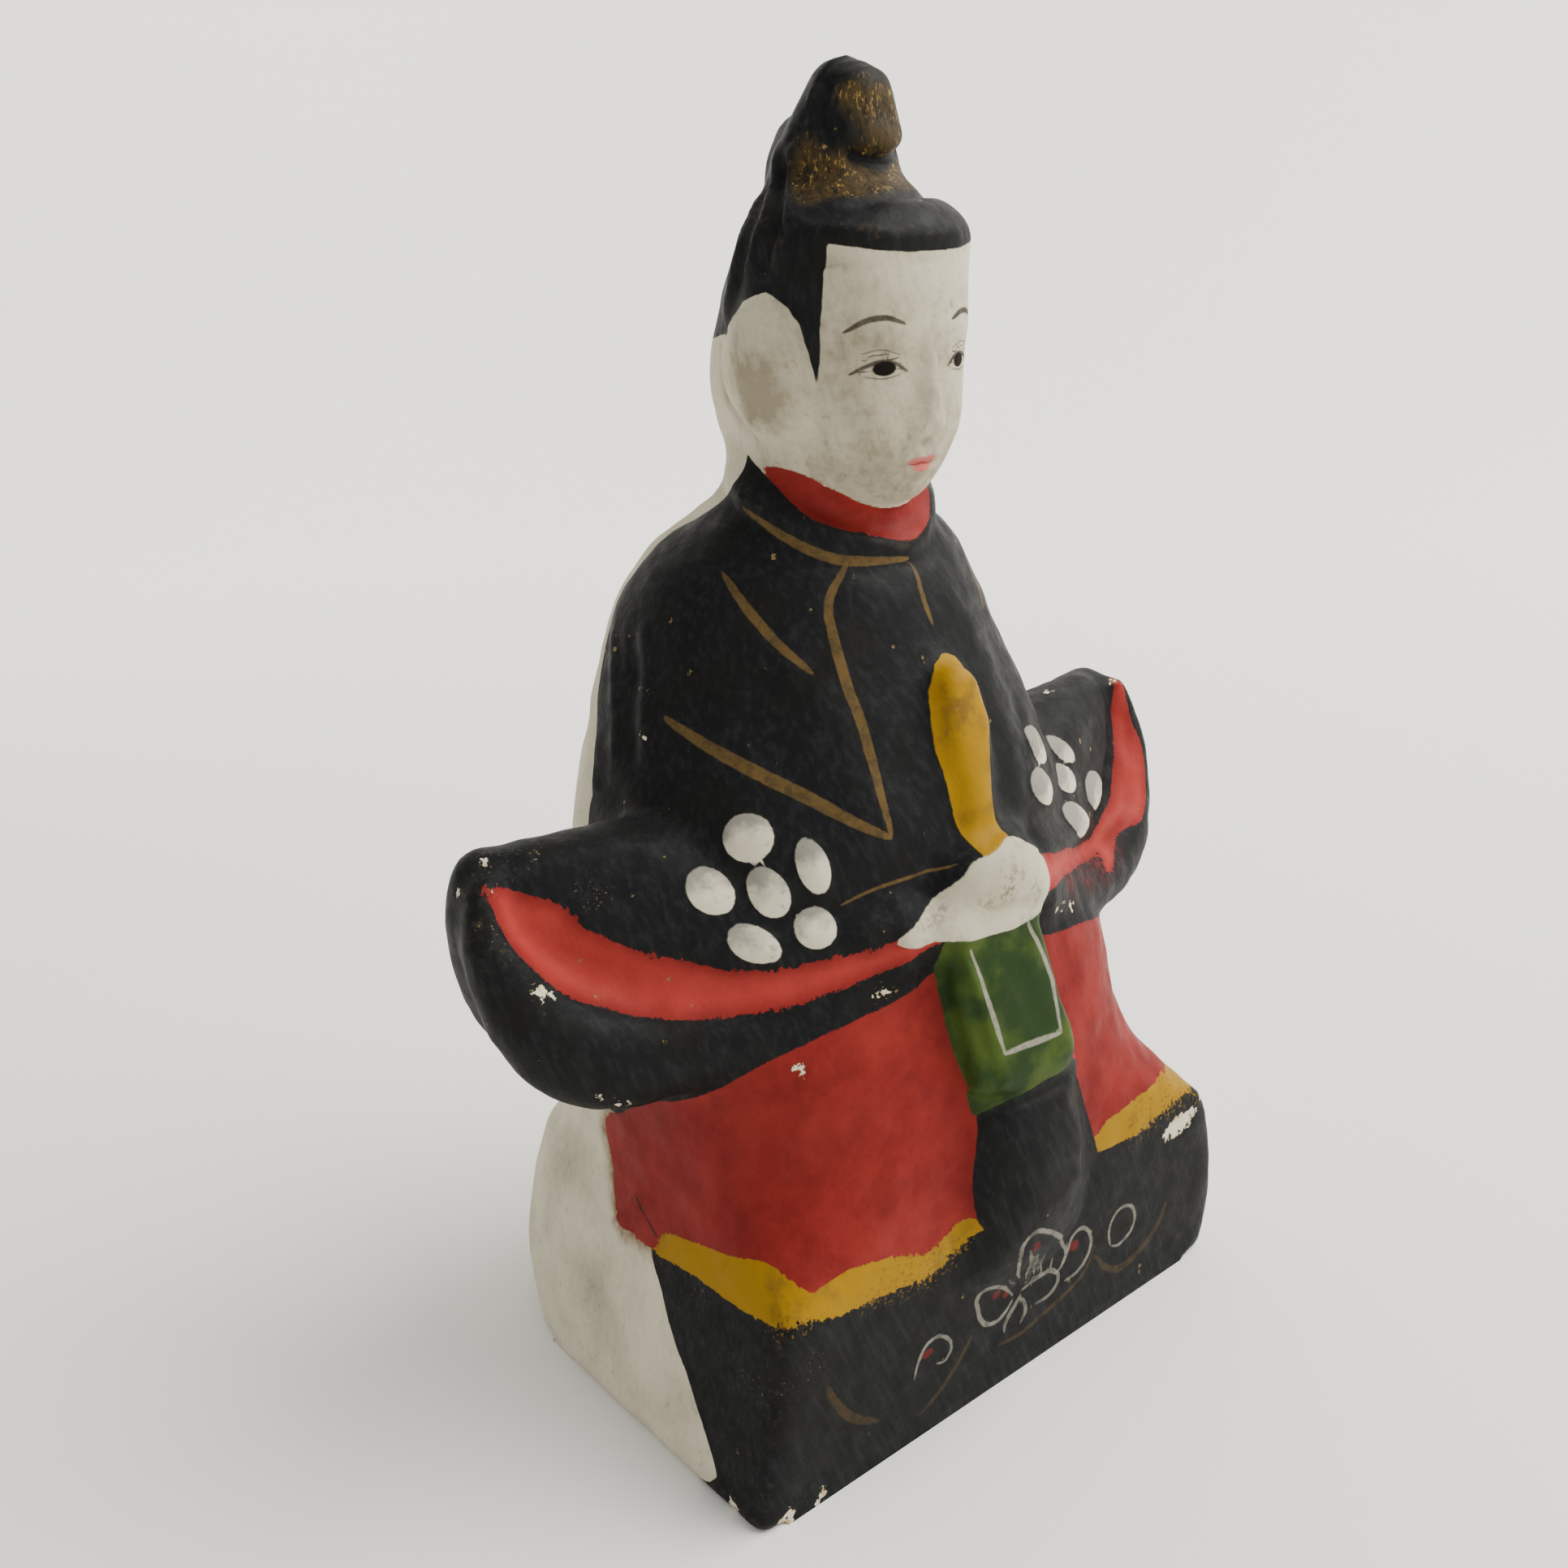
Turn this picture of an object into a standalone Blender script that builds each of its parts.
"""Japanese clay doll: a seated court figure on a low plinth, pressed and painted as one solid piece.

Run with: blender --background --python part.py
Metres, +Z up. The origin is the centre of the plinth's underside, the face looks along -Y,
and +X is the figure's left.
"""

import math

import bmesh
import bpy
from mathutils import Vector

# Driving sizes, metres
PLINTH_WIDTH = 0.0778
PLINTH_DEPTH = 0.064
PLINTH_HEIGHT = 0.025
PLINTH_TAPER = 0.0030  # each side draws in by this much from its middle to the top
PLINTH_BELLY = 0.0006  # the sides swell by this much near the foot
PLINTH_LEAN = 0.0026  # the block was pressed askew: its top lies this far to the figure's left
BACK_BELLY = 0.0012  # the rounded back swells by this much
FOOT_ROUNDING = 0.0004
FIGURE_HEIGHT = 0.1265  # plinth top to the tip of the cap
FIGURE_OFFSET = 0.0007  # the figure sits this far to its left on the plinth, as pressed by hand

# The modelled clay: how fine the surface is, and how far tool marks are smoothed away
CLAY_GRAIN = 0.0009
SMOOTHING_PASSES = 6
MOST_TRIANGLES = 9600

# The figure's own proportions are in modules, so that they keep their share of its height.
# X is counted from the mid plane, Y from the figure's front plane, Z from the plinth's top.
MODULES_HIGH = 126.5
MODULES_DEEP = 64
MODULE = FIGURE_HEIGHT / MODULES_HIGH

RING_POINTS = 72
BLACK = (0.012, 0.013, 0.015, 1.0)
DOLL = "clay_doll"


def place(x, y, z):
    """A point of the figure in metres, from its place in modules."""
    across = FIGURE_OFFSET + x * MODULE
    return Vector((across, (y - MODULES_DEEP / 2) * MODULE, PLINTH_HEIGHT + z * MODULE))


def corner(angle, power):
    """Cosine and sine of the angle, pressed towards a square as the power grows above 2."""
    c, s = math.cos(angle), math.sin(angle)
    bend = 2 / power
    return math.copysign(abs(c) ** bend, c), math.copysign(abs(s) ** bend, s)


def ring(half, near, far, near_power, far_power):
    """Flat outline around the mid plane: half its width, and its reach to the front and the back."""
    middle = (near + far) / 2
    points = []
    for i in range(RING_POINTS):
        angle = math.tau * i / RING_POINTS
        c, s = corner(angle, far_power if math.sin(angle) > 0 else near_power)
        reach = far - middle if s > 0 else middle - near
        points.append((half * c, middle + reach * s))
    return points


def eased(rows, steps):
    """Rows of numbers with smooth ones filled in between, steps to each gap."""
    filled = []
    for i in range(len(rows) - 1):
        before, first = rows[max(i - 1, 0)], rows[i]
        second, after = rows[i + 1], rows[min(i + 2, len(rows) - 1)]
        for step in range(steps):
            t = step / steps
            filled.append([
                b + 0.5 * t * (c - a + t * (2 * a - 5 * b + 4 * c - d + t * (3 * (b - c) + d - a)))
                for a, b, c, d in zip(before, first, second, after)
            ])
    return filled + [list(rows[-1])]


def add_lump(name, data):
    lump = bpy.data.objects.new(name, data)
    bpy.data.collections[DOLL].objects.link(lump)
    return lump


def loft(name, rings):
    """A closed form through rings of points: a circle is extruded from ring to ring, then capped."""
    bm = bmesh.new()
    order = bm.verts.layers.int.new("order")
    bmesh.ops.create_circle(bm, segments=len(rings[0]), radius=1.0)
    for i, vert in enumerate(bm.verts):
        vert[order] = i
        vert.co = rings[0][i]
    first = edges = bm.edges[:]
    for points in rings[1:]:
        made = bmesh.ops.extrude_edge_only(bm, edges=edges)["geom"]
        edges = [part for part in made if isinstance(part, bmesh.types.BMEdge)]
        for vert in made:
            if isinstance(vert, bmesh.types.BMVert):
                vert.co = points[vert[order]]
    bmesh.ops.holes_fill(bm, edges=first + edges, sides=0)
    bmesh.ops.recalc_face_normals(bm, faces=bm.faces)
    mesh = bpy.data.meshes.new(name)
    bm.to_mesh(mesh)
    bm.free()
    return add_lump(name, mesh)


def stacked(name, rows, steps=6):
    """A form of level rings.

    Each row is height, half width, front, back, front and back squareness, and the ring's place aside.
    """
    rings = []
    for height, half, near, far, near_power, far_power, *aside in eased(rows, steps):
        outline = ring(half, near, far, near_power, far_power)
        rings.append([place(sum(aside) + x, y, height) for x, y in outline])
    return loft(name, rings)


def ball(name, centre, reach, turn=(0, 0, 0)):
    """An ellipsoid lump: centre and half sizes in modules, turned by degrees about X, Y and Z."""
    bpy.ops.mesh.primitive_uv_sphere_add(segments=36, ring_count=18, radius=1.0)
    lump = bpy.context.object
    lump.name = name
    lump.scale = Vector(reach) * MODULE
    lump.rotation_euler = [math.radians(angle) for angle in turn]
    lump.location = place(*centre)
    return lump


def make_plinth():
    """The low block: flat front, swelling sides, and a back rounded like a D."""
    half, front, back = PLINTH_WIDTH / 2, -PLINTH_DEPTH / 2, PLINTH_DEPTH / 2
    front_squareness = 40
    # Share of the height, side inset, back inset, share of the lean, squareness of the back.
    # What is below the ground is cut off at the end.
    rows = [
        (-0.1, -FOOT_ROUNDING, FOOT_ROUNDING * 4, 0, 3.1),
        (0, -FOOT_ROUNDING * 0.5, FOOT_ROUNDING * 3, 0, 3.2),
        (0.1, -PLINTH_BELLY * 0.7, FOOT_ROUNDING, 0.36, 3.5),
        (0.3, -PLINTH_BELLY, -BACK_BELLY * 0.8, 0.7, 3.8),
        (0.5, 0, -BACK_BELLY, 0.95, 3.9),
        (0.7, PLINTH_TAPER * 0.3, -BACK_BELLY * 0.6, 1, 3.9),
        (0.85, PLINTH_TAPER * 0.6, 0, 1, 3.8),
        (1, PLINTH_TAPER, BACK_BELLY * 0.9, 0.9, 3.7),
    ]
    rings = []
    for share, side, behind, lean, back_squareness in eased(rows, 3):
        outline = ring(half - side, front, back - behind, front_squareness, back_squareness)
        aside = lean * PLINTH_LEAN
        rings.append([Vector((aside + x, y, PLINTH_HEIGHT * share)) for x, y in outline])
    return loft("plinth", rings)


def make_lap():
    """Trousers and back of the seated figure, from the plinth's edge up under the sleeves."""
    # The foot of the figure follows the plinth's lean
    rows = [
        (-4, 36.4, 0.2, 61.4, 24, 3.7, 1.5),
        (0.5, 35.8, 0.2, 61.0, 14, 3.6, 1.4),
        (3, 34.8, 0.4, 60.2, 8, 3.5, 1.1),
        (7, 34.0, 0.4, 59.2, 4.4, 3.2, 0.6),
        (12, 33.6, 0.8, 58.4, 3.2, 2.9, 0.3),
        (18, 33.6, 1.6, 58.0, 2.9, 2.8, 0),
        (24, 33.6, 3.0, 58.0, 2.8, 2.7, 0),
        (31, 33.2, 5.0, 58.0, 2.6, 2.4, 0),
        (38, 32.0, 6.5, 58.0, 2.4, 2.2, 0),
    ]
    return stacked("lap", rows)


def make_torso():
    """The robe over arms and chest, a bell that narrows to the neck."""
    rows = [
        (26, 31.0, 7.0, 59.0, 2.2, 2.2),
        (36, 31.8, 6.4, 60.0, 2.2, 2.1),
        (43, 31.2, 6.2, 60.0, 2.2, 2.1),
        (50, 29.4, 7.4, 59.2, 2.1, 2.1),
        (57, 27.0, 9.8, 58.2, 2.05, 2.1),
        (63, 24.8, 12.2, 57.2, 2.0, 2.1),
        (69, 22.5, 14.6, 55.0, 2.0, 2.1),
        (72, 21.2, 15.9, 52.8, 2.0, 2.1),
        (75, 19.2, 17.4, 50.4, 2.0, 2.1),
        (77, 16.8, 18.6, 48.2, 2.0, 2.0),
        (79, 14.0, 19.6, 45.6, 2.0, 2.0),
        (81, 12.2, 19.2, 42.8, 2.0, 2.0),
        (84, 11.2, 18.2, 40.6, 2.0, 2.0),
        (88, 10.4, 18.0, 40.0, 2.0, 2.0),
    ]
    return stacked("torso", rows)


def make_head():
    """The head without its ears: narrow at the chin, flat in front and round at the temples."""
    rows = [
        (80.8, 3.0, 17.4, 31.0, 2.2, 2.0),
        (82.0, 6.4, 15.2, 35.8, 2.2, 2.0),
        (84.5, 8.8, 13.4, 40.4, 2.3, 2.1),
        (88, 10.3, 12.2, 42.6, 2.4, 2.2),
        (92, 11.1, 11.7, 43.0, 2.5, 2.2),
        (96, 11.7, 11.5, 42.4, 2.5, 2.2),
        (100, 12.0, 11.4, 40.8, 2.5, 2.2),
        (104, 11.9, 11.4, 38.4, 2.5, 2.2),
        (108, 11.5, 11.4, 36.0, 2.5, 2.2),
        (111, 9.0, 13.8, 33.8, 2.3, 2.1),
    ]
    nose = ball("nose", (0, 12.2, 91.6), (1.5, 1.9, 3.6), (10, 0, 0))
    return [stacked("head", rows), nose]


def make_cap():
    """Court cap: a brim over the forehead, a drum behind it, a tall lobe and a tail down the back."""
    # Each row is height, half width, front, back, and the front's and the back's squareness
    brim = stacked("brim", [
        (107.3, 11.1, 12.0, 34.8, 2.4, 2.1),
        (107.9, 11.9, 11.0, 35.7, 2.4, 2.1),
        (109.0, 11.9, 11.0, 35.3, 2.4, 2.1),
        (110.4, 11.1, 11.9, 34.4, 2.3, 2.1),
        (111.9, 9.9, 13.7, 33.8, 2.2, 2.0),
        (113.4, 8.1, 17.0, 33.4, 2.0, 2.0),
        (115.0, 7.1, 18.6, 32.6, 2.0, 2.0),
        (117.2, 6.7, 18.7, 32.2, 2.0, 2.0),
    ])
    lobe = stacked("lobe", [
        (115.6, 6.0, 19.2, 31.4, 2.0, 2.0),
        (117.1, 7.2, 18.1, 32.0, 2.0, 2.0),
        (118.9, 6.4, 18.5, 31.0, 2.0, 2.0),
        (121.0, 5.3, 18.9, 29.4, 2.0, 2.0),
        (123.0, 4.5, 19.2, 28.0, 2.0, 2.0),
        (124.8, 3.5, 19.8, 26.8, 2.0, 2.0),
        (126.0, 2.0, 21.0, 25.4, 2.0, 2.0),
        (126.5, 0.7, 22.2, 24.0, 2.0, 2.0),
    ])
    tail = tube("tail", [
        (0, 27.6, 121.4, 1.2), (0, 30.6, 119.0, 2.9), (0, 31.6, 116.0, 3.7), (0, 31.6, 111, 3.9),
        (0, 33.0, 103, 4.9), (0, 35.4, 96, 5.8), (0, 36.2, 90, 5.2),
    ])
    return [brim, lobe, tail]


def sheet(out):
    """How far back the sleeve's front lies, by distance from the mid plane."""
    return 4.4 + (0.59 if out > 11 else -0.2) * (out - 11)


def make_sleeve():
    """One wide hanging sleeve, as upright sections from beside the hands out to its corner."""
    # Distance out, foot, top, thickness, squareness, and how much the section leans back
    rows = [
        (5, 31.5, 43.5, 15, 2.2, 0.45),
        (10, 30.4, 46.0, 16, 2.2, 0.48),
        (16, 28.4, 47.6, 17.4, 2.2, 0.50),
        (24, 25.4, 49.0, 17, 2.3, 0.40),
        (32, 23.2, 50.2, 14.5, 2.6, 0.18),
        (39, 22.4, 50.3, 12, 2.7, 0.06),
        (44.5, 24.2, 50.3, 10.2, 2.8, 0),
        (48.8, 28.0, 50.0, 8.6, 2.7, 0),
        (51.2, 33.5, 47.8, 6.0, 2.4, 0),
        (52.2, 38.5, 44.2, 3.0, 2.0, 0),
    ]
    rings = []
    for out, foot, top, thickness, power, lean in eased(rows, 4):
        points = []
        for i in range(RING_POINTS):
            c, s = corner(math.tau * i / RING_POINTS, power)
            across, up = sheet(out) + thickness / 2, (foot + top) / 2
            rise = s * (top - foot) / 2
            points.append(place(out, across - c * thickness / 2 + lean * rise, up + rise))
        rings.append(points)
    return loft("sleeve", rings)


def make_lip():
    """The sleeve mouth's thick lower lip, proud of the sleeve from the hands out to the corner."""
    # Distance out, offset from the sleeve's front, height, radius
    rows = [
        (10.5, 2.4, 32.8, 1.8), (14.5, 1.8, 31.6, 2.2), (19, 1.0, 30.2, 2.7), (24, 0.6, 28.4, 3.3),
        (29, 0.4, 27.0, 4.3), (34, 0.4, 26.5, 5.3), (39, 0.3, 26.7, 6.3), (43.2, -0.2, 28.5, 6.4),
        (46.8, -1.0, 32.6, 5.4), (49.4, -1.5, 38.0, 3.9), (50.5, -1.2, 43.2, 2.6),
        (50, -0.4, 46.8, 1.8), (48.4, 0.2, 48.8, 1.2),
    ]
    return tube("lip", [(out, sheet(out) + off, height, radius) for out, off, height, radius in rows])


def make_front_pieces():
    """Joined hands, the flat baton, the apron panel and the round hem between the knees."""
    hands = ball("hands", (1.6, 7.8, 40.0), (8.4, 7.0, 5.7), (-24, 0, 0))
    wrist = ball("wrist", (-5.4, 8.2, 36.2), (6.2, 6.4, 3.4), (0, -20, 8))
    other_wrist = ball("other_wrist", (6.4, 7.8, 37.0), (5.2, 6.0, 3.8), (0, 20, -8))
    hem = stacked("hem", [
        (-15, 12.0, 2.2, 14, 2.0, 2.0, 1.6),
        (-11, 13.4, -0.4, 14, 2.0, 2.0, 1.8),
        (-7, 13.2, -2.6, 14, 2.1, 2.0, 2.0),
        (-2, 12.0, -4.2, 14, 2.2, 2.0, 2.0),
        (4, 11.0, -4.9, 14, 2.3, 2.0, 2.0),
        (10, 10.3, -4.4, 14, 2.3, 2.0, 2.0),
        (16, 9.1, -2.8, 14, 2.2, 2.0, 1.6),
        (21, 6.4, 0.4, 14, 2.0, 2.0, 1.0),
    ])
    panel = slab("panel", (0, 4.4, 26.5), (14.2, 9.0, 21.5), -17.7, 1.0)
    return [hands, wrist, other_wrist, hem, make_baton(), panel]


def make_baton():
    """The flat baton, broad and rounded above and narrow at the hands."""
    aside, thickness, squareness = 1.7, 7, 6
    # Height, half width, front face
    rows = [
        (40, 1.9, 3.6), (44, 2.1, 4.3), (49, 2.6, 5.4), (54, 3.1, 6.5), (58.6, 3.4, 7.5),
        (61.2, 2.9, 8.1), (62.8, 2.0, 8.6), (63.5, 0.9, 9.2),
    ]
    rings = []
    for height, half, front in eased(rows, 3):
        outline = ring(half, front, front + thickness, squareness, squareness)
        rings.append([place(aside + x, y, height) for x, y in outline])
    return loft("baton", rings)


def tube(name, points):
    """A round tube along points of x, y, z and radius, all in modules."""
    data = bpy.data.curves.new(name, "CURVE")
    data.dimensions = "3D"
    data.bevel_depth = MODULE
    data.bevel_resolution = 5
    data.use_fill_caps = True
    line = data.splines.new("POLY")
    smooth = eased(points, 4)
    line.points.add(len(smooth) - 1)
    for point, (x, y, z, radius) in zip(line.points, smooth):
        point.co = (*place(x, y, z), 1)
        point.radius = radius
    return add_lump(name, data)


def slab(name, centre, size, lean, rounding):
    """A flat plank with rounded edges that leans back from the foot, in modules and degrees."""
    bm = bmesh.new()
    bmesh.ops.create_cube(bm, size=1.0)
    bmesh.ops.scale(bm, vec=Vector(size) * MODULE, verts=bm.verts)
    bmesh.ops.bevel(
        bm, geom=bm.edges[:], offset=rounding * MODULE, offset_type="OFFSET",
        segments=2, profile=0.5, affect="EDGES", material=-1,
    )
    mesh = bpy.data.meshes.new(name)
    bm.to_mesh(mesh)
    bm.free()
    lump = add_lump(name, mesh)
    lump.rotation_euler.x = math.radians(lean)
    lump.location = place(*centre)
    return lump


def make_ear():
    return ball("ear", (10.8, 24.2, 96.0), (3.2, 5.4, 7.8), (0, 6, -14))


def make_collar():
    """The raised neckband, low in front and high at the nape."""
    half = [
        (0, 18.6, 75.6, 1.7), (5.4, 19.8, 76.6, 1.7), (9.8, 23.0, 79.2, 1.7),
        (11.8, 27.4, 82.4, 1.6), (10.8, 32.6, 84.0, 1.2), (6.5, 37.4, 84.2, 0.8), (0, 39.4, 84.2, 0.7),
    ]
    other = [(-x, y, z, radius) for x, y, z, radius in half[-2:0:-1]]
    return tube("collar", half + other + [half[0]])


def as_mesh(lump):
    """The lump as world-space mesh, with its curve or modifiers settled."""
    graph = bpy.context.evaluated_depsgraph_get()
    mesh = bpy.data.meshes.new_from_object(lump.evaluated_get(graph))
    mesh.transform(lump.matrix_world)
    return mesh


def mirrored(lump, name):
    """A copy of the lump on the figure's other side."""
    mesh = as_mesh(lump)
    bm = bmesh.new()
    bm.from_mesh(mesh)
    bmesh.ops.scale(bm, vec=(-1, 1, 1), verts=bm.verts)
    bmesh.ops.translate(bm, vec=(2 * FIGURE_OFFSET, 0, 0), verts=bm.verts)
    bmesh.ops.reverse_faces(bm, faces=bm.faces)
    bm.to_mesh(mesh)
    bm.free()
    return add_lump(name, mesh)


def pressed_together(lumps):
    """All lumps as one solid: the overlapping clay gets a single skin, which is smoothed."""
    bpy.context.view_layer.update()
    bm = bmesh.new()
    for lump in lumps:
        bm.from_mesh(as_mesh(lump))
    for lump in lumps:
        bpy.data.objects.remove(lump)
    bmesh.ops.remove_doubles(bm, verts=bm.verts, dist=1e-6)
    mesh = bpy.data.meshes.new(DOLL)
    bm.to_mesh(mesh)
    bm.free()
    doll = add_lump(DOLL, mesh)
    skin = doll.modifiers.new("one_skin", "REMESH")
    skin.mode = "VOXEL"
    skin.voxel_size = CLAY_GRAIN
    soften = doll.modifiers.new("thumbed_smooth", "SMOOTH")
    soften.factor = 0.5
    soften.iterations = SMOOTHING_PASSES
    return doll


def thin_out(doll):
    """Fewer triangles where the form is plain."""
    graph = bpy.context.evaluated_depsgraph_get()
    fine = doll.evaluated_get(graph).to_mesh()
    fine.calc_loop_triangles()
    count = len(fine.loop_triangles)
    thin = doll.modifiers.new("fewer_faces", "DECIMATE")
    thin.ratio = min(1.0, MOST_TRIANGLES / count)


def flat_foot(doll):
    """Cuts the underside flat at the ground."""
    mesh = as_mesh(doll)
    doll.modifiers.clear()
    bm = bmesh.new()
    bm.from_mesh(mesh)
    cut = bmesh.ops.bisect_plane(
        bm, geom=bm.verts[:] + bm.edges[:] + bm.faces[:],
        plane_co=(0, 0, 0), plane_no=(0, 0, -1), clear_outer=True,
    )["geom_cut"]
    rim = [part for part in cut if isinstance(part, bmesh.types.BMEdge)]
    bmesh.ops.holes_fill(bm, edges=rim, sides=0)
    bmesh.ops.recalc_face_normals(bm, faces=bm.faces)
    bm.to_mesh(mesh)
    bm.free()
    doll.data = mesh


def paint(doll):
    material = bpy.data.materials.new("painted_clay")
    material.use_nodes = True
    shader = material.node_tree.nodes["Principled BSDF"]
    shader.inputs["Base Color"].default_value = BLACK
    shader.inputs["Roughness"].default_value = 0.5
    shader.inputs["Metallic"].default_value = 0.0
    doll.data.materials.clear()
    doll.data.materials.append(material)


def main():
    for old in list(bpy.data.objects):
        bpy.data.objects.remove(old)
    bpy.context.scene.collection.children.link(bpy.data.collections.new(DOLL))
    pairs = [make_sleeve(), make_lip(), make_ear()]
    lumps = [make_plinth(), make_lap(), make_torso(), make_collar()] + pairs
    bpy.context.view_layer.update()
    lumps += [mirrored(lump, lump.name + "_right") for lump in pairs]
    lumps += make_head() + make_cap() + make_front_pieces()
    doll = pressed_together(lumps)
    flat_foot(doll)
    thin_out(doll)
    paint(doll)


main()
